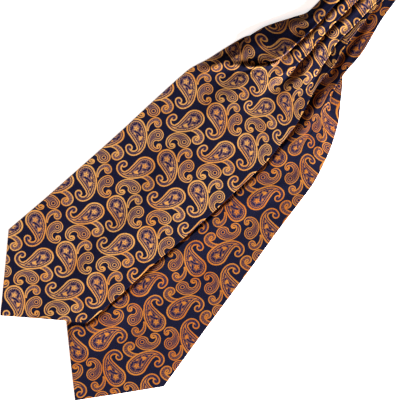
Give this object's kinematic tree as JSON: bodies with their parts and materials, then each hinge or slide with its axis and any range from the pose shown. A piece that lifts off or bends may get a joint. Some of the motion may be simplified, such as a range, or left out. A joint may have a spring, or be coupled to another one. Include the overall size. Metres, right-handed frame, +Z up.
{
  "type": "day cravat",
  "caption": "Self-lined silk day cravat with two wide pointed blades and a pleated neckband, folded once at the neck and laid flat with its blades fanned.",
  "frame": {"origin": "middle of the whole outline, on the surface that the cravat lies on", "axes": "+Y from the blades' points to the turn of the neckband, halfway between the two blades, +Z up, +X to the back blade's side"},
  "size_m": [0.2682, 0.6574, 0.0172],
  "materials": {
    "silk_jacquard": "navy satin jacquard with gold and blue paisley"
  },
  "bodies": {
    "root": {"front_blade": "silk_jacquard", "front_neck": "silk_jacquard", "back_blade": "silk_jacquard", "back_neck": "silk_jacquard", "neck_turn": "silk_jacquard"}
  },
  "joints": []
}
